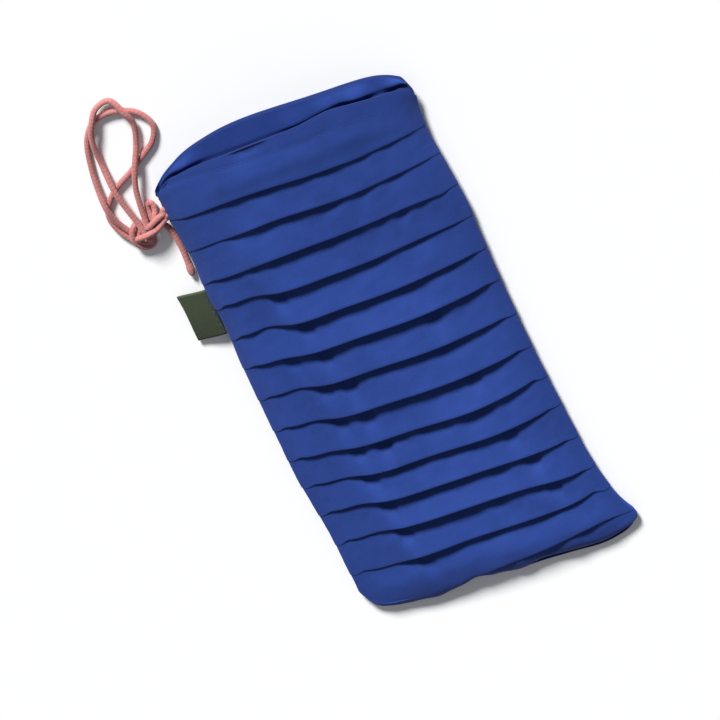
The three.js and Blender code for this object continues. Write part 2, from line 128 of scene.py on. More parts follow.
# How far each folded edge stands over the next band, at the places across in GAPE_PLACES
GAPE_PLACES = [-1, -0.82, -0.68, -0.44, 0, 0.44, 0.82, 1]
GAPES = [(0.35, 0.7, 1.0, 1.3, 1.6, 0.7, 0.5, 0.35), (0.5, 0.5, 0.5, 1.6, 1.8, 1.0, 0.5, 0.35),
         (0.35, 1.2, 1.4, 2.1, 2.0, 1.4, 0.7, 0.35), (0.35, 1.3, 1.0, 2.5, 2.3, 1.4, 0.7, 0.35),
         (0.35, 1.3, 0.7, 2.8, 2.8, 2.4, 1.4, 0.35), (0.35, 1.6, 1.8, 2.8, 2.8, 2.8, 1.6, 0.35),
         (0.35, 1.0, 0.8, 2.6, 2.7, 2.9, 1.2, 0.35), (0.35, 1.2, 0.9, 2.5, 2.9, 2.7, 1.3, 0.35),
         (0.35, 1.4, 1.3, 2.2, 2.4, 3.0, 1.3, 0.35), (0.35, 1.0, 0.9, 2.5, 2.3, 3.0, 1.0, 0.35),
         (0.35, 1.2, 1.3, 2.9, 3.1, 2.6, 1.0, 0.35), (0.35, 0.9, 0.9, 2.8, 3.3, 2.2, 1.5, 0.35),
         (0.35, 0.6, 0.7, 2.6, 1.9, 1.7, 0.9, 0.35), (0.1, 0.1, 0.1, 0.2, 0.6, 0.9, 0.7, 0.35)]
# Pockets where the cloth beyond a fold sinks: fold, place across, depth
POCKETS = [(4, -0.50, 1.2), (5, -0.41, 1.4), (6, -0.62, 0.8), (6, -0.38, 1.4), (7, -0.50, 1.0),
           (7, -0.32, 1.4), (8, -0.51, 1.2), (8, -0.31, 1.1), (9, -0.50, 1.0), (9, -0.30, 1.3),
           (10, -0.51, 1.2), (11, -0.50, 1.3), (12, -0.49, 1.4), (13, -0.45, 1.0),
           (6, 0.46, 0.7), (8, 0.52, 0.8), (10, 0.56, 1.0), (11, 0.62, 1.0), (12, 0.66, 1.2)]
POCKET_HALF_WIDTH = 2.6
POCKET_LENGTH = 5.5
POCKET_DEPTH = 1.7  # what the depths above are multiplied by
BAND_BEND = 1.25  # how late a band rises to its folded edge
SCALLOP = 0.8  # how unevenly the cloth starts beyond a fold
SCALLOP_LENGTH = 4.5
BAND_RIPPLE = 0.26  # broad unevenness of a band, then the fine one
FINE_RIPPLE = 0.05
LIP_RIPPLE = 0.06  # unevenness of the folded edges, as a share of their height
GAPE_START = -0.78  # between these places across the folds stand open,
GAPE_END = 0.98
GAPE_GROWTH = (0.26, 0.42)  # and over these shares they come to it, left and right
DEEPEST = -0.7  # the cloth never sinks lower than this over the lining
END_SWELL = 1.3  # how far the cloth puffs up between the last folds and the bottom seam
END_RISE = (0.5, 9)  # how far beyond the last full fold it starts, and over what length it grows
END_FALL = (2.6, 2.0)  # the length over which it falls again, left and right
CORNER_INSET = 0.9  # how far the front lies inside the back at the left bottom corner
CORNER_RUN = 4
EDGE_POWER = 8  # a power of the place across that tells only close to the side edges
SEAM_STEP = 1.2  # how far the back shows beyond the front at the bottom seam, away from the label
SEAM_STEP_START = 0.02
SEAM_STEP_RUN = 0.3
SEAM_SETBACK = 0.1
PUCKER_PLACE = -0.24  # a shallow pucker in the heading
PUCKER_DOWN = 2.6
PUCKER_DEPTH = 0.7
PUCKER_HALF_WIDTH = 4
PUCKER_HALF_LENGTH = 1.6
SEWN_DEPTH = 0.16  # of the sewn crease below the front's hem
SEWN_HALF_WIDTH = 0.8
CORD_SWELL = 0.35  # how far the front swells over the cord in its channel
CHANNEL_HALF = 2.6  # half the width of that swell
HEM_SHADE = (-0.97, 0.08)  # the painted shade on the hems' edges starts here and grows over that share

SHELL = 0.34  # thickness of one layer of cloth
UNDERLAP = 4.2  # how far a fold covers the next band
LAST_UNDERLAP = 1.6
SIDE_BAND_START = 0.2
BAND_START = 0.8
SIDE_LIP_RADIUS = 0.2
LIP_RADIUS = 0.45
CREASE_FLOOR = 0.05
SIDE_CREASE_RADIUS = 0.2
CREASE_RADIUS = 0.3
SIDE_SQUEEZE = 0.5  # what is left of those heights where the seam holds the folds
HEM_RADIUS = 0.22
HEM_DEPTH = 5
BACK_HEM_RADIUS = 0.42
SEAM_ROLL = 0.9
SEAM_TILT = 50  # degrees by which the cloth has turned down where it meets the seam
SEAM_END = 128
SEAM_INSET = 0.9
LEAN_START = 0.75  # share of the half width where the cloth starts to lean
SQUEEZE_TILT = 22  # degrees of lean where the seam starts to hold the folds
FRONT_COLUMNS = 136
BACK_COLUMNS = 88
BAND_ROWS = 18


# Numbers and curves

def smooth(x):
    s = np.clip(x, 0, 1)
    return s * s * (3 - 2 * s)


def lerp(a, b, t):
    return a + (b - a) * t


def through(pairs, x):
    """A smooth line through a few chosen points."""
    stops, values = np.array(pairs, float).T
    slopes = np.gradient(values, stops)
    i = np.clip(np.searchsorted(stops, x, side="right") - 1, 0, len(stops) - 2)
    step = stops[i + 1] - stops[i]
    t = np.clip((x - stops[i]) / step, 0, 1)
    rise = (3 - 2 * t) * t * t
    bend_in = t * (1 - t) ** 2 * step * slopes[i]
    bend_out = -t * t * (1 - t) * step * slopes[i + 1]
    return lerp(values[i], values[i + 1], rise) + bend_in + bend_out


def ripple(x, y, seed, length):
    """Soft irregular waves, about -1 to 1, of that length in millimetres."""
    rng = np.random.default_rng(seed)
    total = 0
    for _ in range(6):
        angle, phase = rng.uniform(0, 2 * math.pi, 2)
        k = 2 * math.pi / (length * rng.uniform(0.7, 1.6))
        total = total + np.sin(k * (x * math.cos(angle) + y * math.sin(angle)) + phase)
    return total / 3


# Places on the pouch: u runs across from -1 to 1, v down the side from the mouth corner

def mouthward(v):
    return 1 - v / SIDE_LENGTH


def half_width(v):
    return lerp(BOTTOM_WIDTH, MOUTH_WIDTH, mouthward(v)) / 2 - SEAM_INSET


def plan_x(u, v):
    bow = -SIDE_BOW * (1 - (2 * mouthward(v) - 1) ** 2)
    start, radius = (np.where(u < 0, *pair) for pair in zip(LEFT_CORNER, RIGHT_CORNER))
    turn = np.clip((v - start) / radius, 0, 0.98)
    rounded = radius * (1 - np.sqrt(1 - turn**2))
    stray = np.where(u < 0, through(LEFT_EDGE, v), through(RIGHT_EDGE, v)) * np.abs(u) ** 4
    return bow + u * (half_width(v) - rounded) + stray


def plan_y(u, v):
    side = np.clip(np.abs(u), 0, 1)
    mouth_arc = MOUTH_ARC * (1 - side ** np.where(u > 0, FAR_MOUTH_CURVE, MOUTH_CURVE))
    bottom_arc = BOTTOM_ARC * (1 - side**BOTTOM_CURVE)
    mouth_end = SIDE_LENGTH / 2 + mouth_arc
    return lerp(-SIDE_LENGTH / 2 - bottom_arc, mouth_end, mouthward(v))


def back_under(u, v):
    lift = lerp(BOTTOM_LIFT, MOUTH_LIFT, np.clip(mouthward(v), 0, 1))
    return lift * smooth((np.abs(u) - FLAT_SHARE) / (1 - FLAT_SHARE))


def back_top(u, v):
    return back_under(u, v) + CLOTH


def arch(u):
    return np.clip(1 - np.abs(u) ** ARCH_CURVE, 0, 1) ** ARCH_SHOULDER


def crown(v):
    swell = lerp(BODY_CROWN, MOUTH_CROWN, smooth(1 - v / MOUTH_RUN))
    tapered = swell * (1 - TAPER * smooth((v - TAPER_START) / (SIDE_LENGTH - TAPER_START)))
    return tapered * (1 - np.exp(-np.clip(SIDE_LENGTH - v, 0, None) / END_RUN))


def front_under(u, v):
    return back_top(u, v) + SEAM_GAP + crown(v) * arch(u)


def across(count, share=1.0):
    """Places across of the lines along a cloth, closer together towards the seams."""
    even = np.linspace(-1, 1, count + 1)
    return share * (0.5 * np.sin(even * math.pi / 2) + 0.5 * even)


class Columns:
    """Lines along the front from seam to seam. The outermost ones turn down over the seams."""

    def __init__(self):
        middle = across(FRONT_COLUMNS)
        turns = np.linspace(SEAM_TILT, SEAM_END, 8)[1:]
        ends = np.ones(len(turns))
        self.u = np.concatenate([-ends, middle, ends])
        lean = SEAM_TILT * smooth((np.abs(middle) - LEAN_START) / (1 - LEAN_START))
        self.tilt = np.radians(np.concatenate([turns[::-1], lean, turns]))
        past = np.concatenate([ends, np.zeros(len(middle)), ends])
        first = math.radians(SEAM_TILT)
        self.out = past * SEAM_ROLL * (np.sin(self.tilt) - math.sin(first))
        self.drop = past * SEAM_ROLL * (math.cos(first) - np.cos(self.tilt))

    def place(self, surface, v, height):
        """Points at height over surface(u, v), where height is measured square to the cloth."""
        past = (np.degrees(self.tilt) - SQUEEZE_TILT) / (SEAM_TILT - SQUEEZE_TILT)
        height = height * lerp(1, SIDE_SQUEEZE, smooth(past))
        inset = CORNER_INSET * smooth((v - LEFT_CORNER[0]) / CORNER_RUN)
        inset = inset * (self.u < 0) * np.abs(self.u) ** EDGE_POWER
        x = plan_x(self.u, v) + inset + np.sign(self.u) * (self.out + height * np.sin(self.tilt))
        z = surface(self.u, v) + (height * np.cos(self.tilt) - self.drop)
        return np.stack([x, plan_y(self.u, v), z], -1)


# Meshes

def normals_of(points):
    n = np.cross(np.gradient(points, axis=0), np.gradient(points, axis=1))
    return n / np.maximum(np.linalg.norm(n, axis=-1, keepdims=True), 1e-9)


def show(mesh, material):
    mesh.materials.append(material)
    made = bpy.data.objects.new(mesh.name, mesh)
    bpy.context.scene.collection.objects.link(made)
    return made


def mesh_piece(name, points, faces, material, uv=None, hem=None):
    """A piece from points in millimetres. hem is one number a point, the share of painted shade on it; uv
    two a point.
    """
    mesh = bpy.data.meshes.new(name)
    points = np.asarray(points, float) * MM
    mesh.vertices.add(len(points))
    mesh.vertices.foreach_set("co", points.ravel())
    corners = np.asarray(faces, np.int32)
    count, width = corners.shape
    mesh.loops.add(count * width)
    mesh.loops.foreach_set("vertex_index", corners.ravel())
    mesh.polygons.add(count)
    mesh.polygons.foreach_set("loop_start", np.arange(0, count * width, width, dtype=np.int32))
    mesh.polygons.foreach_set("use_smooth", np.ones(count, bool))
    if uv is not None:
        layer = mesh.uv_layers.new(name="threads")
        layer.data.foreach_set("uv", np.asarray(uv, float)[corners.ravel()].ravel())
    if hem is not None:
        attribute = mesh.attributes.new("painted_edge_shade", "FLOAT", "POINT")
        attribute.data.foreach_set("value", np.asarray(hem, np.float32))
    mesh.update(calc_edges=True)
    mesh.validate()
    return show(mesh, material)


def quads(rows, columns, first=0, flip=False):
    """Faces between neighbouring rows and columns of a grid of points."""
    index = first + np.arange(rows * columns).reshape(rows, columns)
    a, b, c, d = index[:-1, :-1], index[1:, :-1], index[1:, 1:], index[:-1, 1:]
    corners = (a, d, c, b) if flip else (a, b, c, d)
    return np.stack(corners, -1).reshape(-1, 4)


def cloth_piece(name, middle, thickness, material, hem=None):
    """A closed layer of cloth round its middle surface, with thread directions in its UV map."""
    rows, columns = middle.shape[:2]
    normal = normals_of(middle)
    # The cloth never sinks into the table
    middle = np.stack([middle[..., 0], middle[..., 1], np.maximum(middle[..., 2], thickness / 2)], -1)
    over, under = middle + normal * thickness / 2, middle - normal * thickness / 2
    count = rows * columns
    faces = [quads(rows, columns), quads(rows, columns, count, flip=True)]
    top = np.arange(count).reshape(rows, columns)
    for line in (top[:, 0][::-1], top[-1][::-1], top[:, -1], top[0]):
        faces.append(np.stack([line[:-1], line[1:], line[1:] + count, line[:-1] + count], -1))
    down = np.linalg.norm(np.diff(middle, axis=0, prepend=middle[:1]), axis=-1).cumsum(0)
    side = np.linalg.norm(np.diff(middle, axis=1, prepend=middle[:, :1]), axis=-1).mean(0).cumsum()
    uv = np.stack([np.broadcast_to(side, down.shape), down], -1).reshape(-1, 2)
    points = np.concatenate([over.reshape(-1, 3), under.reshape(-1, 3)])
    return mesh_piece(name, points, np.concatenate(faces), material, np.tile(uv, (2, 1)),
                      None if hem is None else np.tile(hem.ravel(), 2))


def far_along(path):
    """How far each point of a path lies from its start, along it."""
    return np.concatenate([[0], np.cumsum(np.linalg.norm(np.diff(path, axis=0), axis=1))])


def spline(route, step):
    """Evenly spaced points on a centripetal curve through a route."""
    p = np.asarray(route, float)
    p = np.concatenate([[2 * p[0] - p[1]], p, [2 * p[-1] - p[-2]]])
    knots = np.concatenate([[0], np.cumsum(np.diff(far_along(p)) ** 0.5)])
    fine = []
    for i in range(1, len(p) - 2):
        t = np.linspace(knots[i], knots[i + 1], 24, endpoint=False)[:, None]
        k = knots[i - 1 : i + 3]
        a = [((k[j + 1] - t) * p[i - 1 + j] + (t - k[j]) * p[i + j]) / (k[j + 1] - k[j])
             for j in range(3)]
        b = [((k[j + 2] - t) * a[j] + (t - k[j]) * a[j + 1]) / (k[j + 2] - k[j]) for j in range(2)]
        fine.append(((k[2] - t) * b[0] + (t - k[1]) * b[1]) / (k[2] - k[1]))
    fine = np.concatenate([*fine, p[-2:-1]])
    far = far_along(fine)
    even = np.linspace(0, far[-1], max(3, int(round(far[-1] / step)) + 1))
    return np.stack([np.interp(even, far, fine[:, i]) for i in range(3)], -1)


def tube(name, path, radius, material, sides=14, bulb=0.0):
    """A soft round cord along a path, with rounded ends. bulb swells its last end."""
    tangent = np.gradient(path, axis=0)
    tangent /= np.linalg.norm(tangent, axis=1, keepdims=True)
    side = np.cross(tangent[0], (0, 0, 1))
    sideways = []
    for t in tangent:
        side = side - t * (side @ t)
        side = side / np.linalg.norm(side)
        sideways.append(side)
    upward = np.cross(sideways, tangent)
    far = far_along(path)
    size = radius * (1 + bulb * np.exp(-((far[-1] - far - radius * 1.5) / (radius * 1.6)) ** 2))

    def end_ring(i, outward, angle):
        reach = outward * size[i] * math.sin(angle)
        return (path[i] + tangent[i] * reach, sideways[i], upward[i],
                size[i] * math.cos(angle), far[i] + reach)

    angles = np.radians([75, 50, 25])
    rings = [end_ring(0, -1, angle) for angle in angles]
    rings += zip(path, sideways, upward, size, far)
    rings += [end_ring(-1, 1, angle) for angle in angles[::-1]]
    points, uv = [], []
    for middle, s, w, r, along in rings:
        for a in np.linspace(0, 2 * math.pi, sides + 1)[:-1]:
            points.append(middle + s * r * math.cos(a) + w * r * math.sin(a))
            uv.append((a / (2 * math.pi), along))
    index = np.arange(len(points)).reshape(-1, sides)
    nxt = np.roll(index, -1, axis=1)
    faces = np.stack([index[:-1], index[1:], nxt[1:], nxt[:-1]], -1).reshape(-1, 4).tolist()
    faces += [[index.size, int(index[0, i]), int(nxt[0, i])] for i in range(sides)]
    faces += [[index.size + 1, int(nxt[-1, i]), int(index[-1, i])] for i in range(sides)]
    points += [path[0] - tangent[0] * size[0], path[-1] + tangent[-1] * size[-1]]
    uv += [(0.5, -size[0]), (0.5, far[-1] + size[-1])]
    mesh = bpy.data.meshes.new(name)
    mesh.from_pydata((np.array(points) * MM).tolist(), [], faces)
    mesh.polygons.foreach_set("use_smooth", np.ones(len(mesh.polygons), bool))
    layer = mesh.uv_layers.new(name="threads")
    for polygon in mesh.polygons:
        places = [uv[mesh.loops[i].vertex_index] for i in polygon.loop_indices]
        turns = [turn for turn, _ in places]
        wraps = len(turns) == 4 and max(turns) - min(turns) > 0.5
        for i, (turn, along) in zip(polygon.loop_indices, places):
            layer.data[i].uv = (turn + 1 if wraps and turn < 0.5 else turn, along)
    return show(mesh, material)


# Materials

def linear(hex_colour):
    """A colour written as sRGB hex, in the linear values that the shaders take."""
    parts = [int(hex_colour[i : i + 2], 16) / 255 for i in (0, 2, 4)]
    return [c / 12.92 if c <= 0.04045 else ((c + 0.055) / 1.055) ** 2.4 for c in parts] + [1.0]


def add(tree, kind, inputs=None, out=0, **settings):
    """Adds one node and gives its output. Each input is a value or another node's output."""
    node = tree.nodes.new("ShaderNode" + kind)
    for key, value in settings.items():
        setattr(node, key, value)
    for key, value in (inputs or {}).items():
        if isinstance(value, bpy.types.NodeSocket):
            tree.links.new(value, node.inputs[key])
        else:
            node.inputs[key].default_value = value
    return node.outputs[out] if len(node.outputs) else node


def compute(tree, operation, *values, **settings):
    return add(tree, "Math", dict(enumerate(values)), operation=operation, **settings)


def remap(tree, source, low, high, start, end):
    return add(tree, "MapRange", {0: source, 1: low, 2: high, 3: start, 4: end})


def mix(tree, amount, first, second):
    """Two colours mixed, with more of the second where amount is high."""
    return add(tree, "Mix", {0: amount, 6: first, 7: second}, out=2, data_type="RGBA")


def noise(tree, scale, detail):
    body = add(tree, "TexCoord", out="Object")
    return add(tree, "TexNoise", {"Vector": body, "Scale": scale, "Detail": detail}, out="Fac")


def wave(tree, source, per_mm):
    """A sine of a coordinate in millimetres."""
    return compute(tree, "SINE", compute(tree, "MULTIPLY", source, 2 * math.pi * per_mm))


def new_material(name):
    material = bpy.data.materials.new(name)
    material.use_nodes = True
    material.node_tree.nodes.clear()
    return material, material.node_tree


def thread_directions(tree):
    """Places across and along a piece's threads, in millimetres."""
    return add(tree, "SeparateXYZ", {0: add(tree, "UVMap", uv_map="threads")}).node.outputs[:2]


def finish_material(tree, colour, height, strength, depth, looks):
    """Thread relief depth millimetres deep, on a surface of those looks."""
    bump = add(tree, "Bump", {"Height": height, "Strength": strength, "Distance": depth * MM})
    shader = add(tree, "BsdfPrincipled", {"Base Color": colour, "Normal": bump,
                                          "Specular IOR Level": 0.25, **looks})
    add(tree, "OutputMaterial", {"Surface": shader})


def woven(name, shade, light, deep, thread, roughness, sheen, rib=1.0, hem=None):
    """Woven cloth. thread is the spacing of its yarns in millimetres, rib how much denser they
    lie along the cloth than across it."""
    material, tree = new_material(name)
    across, along = thread_directions(tree)
    over_under = compute(tree, "MULTIPLY", wave(tree, across, 0.5 / thread),
                         wave(tree, along, 0.5 * rib / thread))
    yarn = noise(tree, 900.0, 2.0)
    blotches = remap(tree, noise(tree, 45.0, 3.0), 0.3, 0.7, 0.0, 1.0)
    specks = remap(tree, yarn, 0.35, 0.75, 0.0, 0.22)
    colour = mix(tree, specks, mix(tree, blotches, linear(deep), linear(shade)), linear(light))
    # hem is a darker colour, painted shade, mixed in where the mesh marks its rolled edges
    if hem:
        edge = add(tree, "Attribute", out="Fac", attribute_name="painted_edge_shade")
        colour = mix(tree, edge, colour, linear(hem))
    finish_material(tree, colour, compute(tree, "MULTIPLY_ADD", yarn, 0.6, over_under), 0.35, 0.05,
                    {"Roughness": roughness, "Sheen Weight": sheen, "Sheen Roughness": 0.45})
    return material


def braided(name, shade, light, deep, strands, pitch):
    """A soft braided cord: strands cross each other round it, once every pitch millimetres."""
    material, tree = new_material(name)
    round_turn, along = thread_directions(tree)
    around = compute(tree, "MULTIPLY", round_turn, strands)

    def slanted(direction):
        return wave(tree, compute(tree, "MULTIPLY_ADD", along, direction / pitch, around), 1.0)

    crossing = compute(tree, "MULTIPLY", slanted(1), slanted(-1))
    fibre = noise(tree, 1400.0, 3.0)
    # Darker red in the grooves between crossing strands is painted shade, mixed with random tone.
    tone = compute(tree, "MULTIPLY", remap(tree, crossing, -1.0, 1.0, 0.25, 1.0), 0.55)
    tone = compute(tree, "MULTIPLY_ADD", noise(tree, 110.0, 2.0), 0.7, tone, use_clamp=True)
    fluff = remap(tree, fibre, 0.45, 0.8, 0.0, 0.35)
    colour = mix(tree, fluff, mix(tree, tone, linear(deep), linear(shade)), linear(light))
    finish_material(tree, colour, compute(tree, "MULTIPLY_ADD", fibre, 0.5, crossing), 0.5, 0.08,
                    {"Roughness": 0.78, "Sheen Weight": 0.25, "Sheen Roughness": 0.5,
                     "Subsurface Weight": 0.4, "Subsurface Scale": 1.0,
                     "Subsurface Radius": (0.8 * MM, 0.25 * MM, 0.2 * MM)})
    return material


def table_paper(name, colour):
    """The pale table: matt white paper."""
    material, tree = new_material(name)
    paper = add(tree, "BsdfPrincipled", {"Base Color": linear(colour), "Roughness": 0.9})
    add(tree, "OutputMaterial", {"Surface": paper})
    return material


# Polyester plain weave with its backing: matt, with a faint sheen along the folds. Its yarns are
# about 0.2 mm apart and are drawn twice as coarse so that they show.
# Its hem colour is painted shade, laid on the rolled edges of the hems and seams.
POUCH_CLOTH = woven("blue_polyester_plain_weave", "243f89", "2c4992", "1f397e", 0.42, 0.85, 0.04,
                    hem="172b62")
# The same polyester in a lighter weight inside, a little darker
LINING_CLOTH = woven("blue_lining_weave", "22387a", "2a4286", "1e336c", 0.36, 0.85, 0.04)
# Spun polyester thread, twisted and lightly waxed
SEAM_THREAD = woven("blue_sewing_thread", "264088", "30509c", "203674", 0.3, 0.7, 0.05)
# Knitted polyester cord: soft, matt and a little fluffy. The darker red in the grooves between its
# strands is painted shade.
CORD_BRAID = braided("pink_polyester_braid", "bd807c", "cc9a95", "a64f4d", 4, 2.6)
# Damask-woven ribbon: fine ribs across it and a dull satin face
LABEL_RIBBON = woven("olive_woven_ribbon", "38422f", "4c563f", "2d3727", 0.3, 0.62, 0.15, rib=0.5)
TABLE_PAPER = table_paper("white_table_paper", "ffffff")


# Camera. The photograph looks down on the pouch from its mouth and was then turned upside down.
VIEW_AZIMUTH = 152.98
VIEW_ELEVATION = 56.83
VIEW_ROLL = -175.05
VIEW_DISTANCE = 1500
PICTURE = 720  # pixels
ORIGIN_PIXEL = (394.87, 343.88)  # where the pouch's origin lies in the photograph
PIXELS_PER_MM = 3.062
SENSOR = 36


def photo_camera():
    azimuth, elevation, roll = (math.radians(a) for a in (VIEW_AZIMUTH, VIEW_ELEVATION, VIEW_ROLL))
    back = Vector((math.sin(azimuth) * math.cos(elevation),
                   -math.cos(azimuth) * math.cos(elevation), math.sin(elevation)))
    level = Vector((0, 0, 1)).cross(back).normalized()
    above = back.cross(level)
    right = level * math.cos(roll) + above * math.sin(roll)
    up = above * math.cos(roll) - level * math.sin(roll)
    data = bpy.data.cameras.new("photo_camera")
    data.sensor_width = SENSOR
    data.lens = PIXELS_PER_MM * VIEW_DISTANCE * SENSOR / PICTURE
    camera = bpy.data.objects.new("photo_camera", data)
    bpy.context.scene.collection.objects.link(camera)
    aside = (PICTURE / 2 - ORIGIN_PIXEL[0]) / PIXELS_PER_MM
    raised = (ORIGIN_PIXEL[1] - PICTURE / 2) / PIXELS_PER_MM
    place = (back * VIEW_DISTANCE + right * aside + up * raised) * MM
    camera.matrix_world = Matrix.Translation(place) @ Matrix((right, up, back)).transposed().to_4x4()
    bpy.context.scene.camera = camera


photo_camera()


# Drawstring. Routes are listed: x, y and height of the cord's middle.
FRONT_LEAD_ROUTE = [(-48.6, 75.3, 4.2), (-50.0, 74.8, 4.5), (-51.4, 74.3, 4.8), (-52.8, 73.7, 5.0),
                    (-54.0, 73.0, 5.0), (-55.3, 72.1, 4.3), (-56.2, 71.6, 3.2), (-57.2, 72.0, 2.0),
                    (-58.3, 73.4, 1.7), (-59.4, 74.0, 2.5), (-60.7, 73.0, 3.2), (-61.9, 70.8, 3.3),
                    (-62.3, 68.4, 3.0), (-61.8, 66.2, 2.4), (-60.3, 64.4, 1.8), (-58.2, 64.1, 1.6),
                    (-56.7, 65.3, 1.8), (-56.2, 67.2, 2.2)]
BACK_LEAD_ROUTE = [(-48.5, 73.2, 3.7), (-49.8, 72.6, 3.9), (-51.2, 71.7, 4.3), (-52.7, 70.9, 4.8),
                   (-54.8, 70.4, 5.3), (-57.0, 70.1, 5.5), (-59.2, 69.8, 5.1), (-60.6, 69.2, 4.0),
                   (-60.6, 67.8, 2.8), (-59.6, 66.3, 2.2), (-58.0, 66.0, 2.2), (-56.8, 67.2, 2.6),
                   (-55.9, 68.7, 2.6)]
LONG_LOOP_ROUTE = [(-57.4, 67.4, 3.2), (-57.8, 70.4, 3.6), (-58.4, 74.6, 3.3), (-59.6, 81.0, 3.3),
                   (-60.5, 88.0, 3.4), (-60.8, 97.5, 1.3), (-59.7, 106.5, 2.6), (-57.4, 112.5, 3.4),
                   (-53.6, 117.4, 2.4), (-48.6, 118.4, 2.2), (-45.6, 113.0, 3.4), (-44.9, 108.0, 2.2),
                   (-47.0, 101.2, 1.8), (-51.2, 92.7, 3.4), (-53.6, 86.6, 3.3), (-54.8, 81.0, 3.2),
                   (-55.6, 75.4, 3.2), (-55.9, 71.4, 3.3), (-55.2, 68.8, 3.0), (-54.0, 69.4, 2.6),
                   (-53.7, 71.6, 2.3), (-53.8, 74.0, 2.0), (-53.9, 76.2, 1.5), (-53.6, 78.1, 1.2),
                   (-52.6, 79.0, 1.2), (-51.6, 78.0, 1.3), (-51.7, 76.2, 1.8), (-52.3, 74.5, 2.8),
                   (-53.0, 72.8, 3.1)]
ROUND_LOOP_ROUTE = [(-59.8, 67.4, 1.2), (-62.6, 67.6, 1.1), (-64.4, 69.8, 1.1), (-65.8, 72.4, 1.1),
                    (-66.8, 76.0, 1.1), (-66.8, 79.0, 1.1), (-65.2, 82.6, 1.1), (-60.2, 87.6, 1.1),
                    (-53.4, 91.5, 1.1), (-48.2, 95.1, 1.1), (-42.0, 99.7, 1.1), (-39.6, 105.0, 1.1),
                    (-42.0, 110.4, 1.1), (-46.6, 113.1, 1.1), (-52.1, 114.0, 1.1), (-57.2, 112.4, 1.1),
                    (-61.6, 107.0, 1.1), (-64.6, 97.0, 1.1), (-65.6, 89.5, 2.0), (-65.7, 82.8, 3.4),
                    (-65.1, 77.4, 2.4), (-63.9, 73.6, 1.5), (-62.5, 71.0, 1.2), (-60.8, 69.4, 1.2),
                    (-58.8, 69.3, 1.4)]
LONG_TAIL_ROUTE = [(-60.6, 68.6, 2.6), (-59.4, 71.4, 2.0), (-57.4, 73.2, 1.4), (-54.9, 73.4, 1.3),
                   (-52.9, 72.2, 2.0), (-51.2, 70.6, 2.2), (-50.3, 68.2, 1.6), (-49.9, 64.8, 1.2),
                   (-49.7, 59.9, 1.2), (-50.0, 54.6, 1.3), (-50.4, 50.0, 1.5)]
DRAWN_RADIUS = 0.98  # of the cord, once its fluffy edge is left out
CORD_STEP = 0.6


def lead_path(side, route):
    """A cord end, straight inside its channel, then along its route on the table."""
    exit_point = np.array([plan_x(-1.0, CHANNEL_MIDDLE) - SEAM_INSET, plan_y(-1.0, CHANNEL_MIDDLE),
                           back_top(1.0, CHANNEL_MIDDLE) + CORD_CLEARANCE + CORD_DIAMETER / 2])
    inner_share = -1 + LEAD_LENGTH / (half_width(CHANNEL_MIDDLE) + SEAM_INSET)
    inner = np.array([plan_x(inner_share, CHANNEL_MIDDLE), plan_y(inner_share, CHANNEL_MIDDLE)])
    direction = np.append(exit_point[:2] - inner, 0)
    direction /= np.linalg.norm(direction)
    sideways = np.array([direction[1], -direction[0], 0])
    start = exit_point + sideways * (side * LEAD_SPREAD - LEAD_SAG)
    inside = [start - direction * LEAD_LENGTH, start - direction * LEAD_LENGTH / 2, start]
    return spline([*inside, *route], CORD_STEP)


def cord_piece(name, path, nodes, bulb=0.0):
    piece = tube(name, path, DRAWN_RADIUS, CORD_BRAID, bulb=bulb)
    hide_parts(*nodes)
    return piece


def bend_across(piece):
    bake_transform(piece)


front_lead = cord_piece("drawstring_front_end", lead_path(1, FRONT_LEAD_ROUTE),
                        ["drawstring_front_lead"])
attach(front_lead, "cord_knot")
back_lead = cord_piece("drawstring_back_end", lead_path(-1, BACK_LEAD_ROUTE),
                       ["drawstring_back_lead", "bow_knot"])
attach(back_lead, "cord_knot")
long_loop = cord_piece("long_bow_loop", spline(LONG_LOOP_ROUTE, CORD_STEP),
                       ["bow_loop_long", "bow_tail_short"])
bend_across(long_loop)
round_loop = cord_piece("round_bow_loop", spline(ROUND_LOOP_ROUTE, CORD_STEP), ["bow_loop_round"])
bend_across(round_loop)
long_tail = cord_piece("long_bow_tail", spline(LONG_TAIL_ROUTE, CORD_STEP), ["bow_tail_long"],
                       bulb=0.32)
bend_across(long_tail)


# Front of the pouch: thirteen soft folds and a fourteenth that runs out at the bottom seam

def fold_line(k, u):
    if k in FREE_FOLDS:
        return through(FREE_FOLDS[k], u)
    left, middle, right = FOLDS[k - 1]
    end = np.where(u < 0, left, right)
    hook = HOOKS[k - 1] * np.exp(-(((u - HOOK_PLACE) / HOOK_WIDTH) ** 2))
    runs_on = smooth((np.abs(u) - FOLD_END_START) / (1 - FOLD_END_START))
    return lerp(middle, end, np.abs(u) ** FOLD_BEND) - hook + runs_on * np.where(u < 0, *FOLD_ENDS[k - 1])


def gaping(u):
    """How far the folds stand open: 0 at the seams, 1 over the middle."""
    return smooth((u - GAPE_START) / GAPE_GROWTH[0]) * smooth((GAPE_END - u) / GAPE_GROWTH[1])


def band_start(u):
    return lerp(SIDE_BAND_START, BAND_START, gaping(u))


def lip_height(k, u):
    uneven = 1 + LIP_RIPPLE * ripple(u * HALF_MOUTH, 0 * u, 40 + k, 30)
    return band_start(u) + through(list(zip(GAPE_PLACES, GAPES[k - 1])), u) * uneven


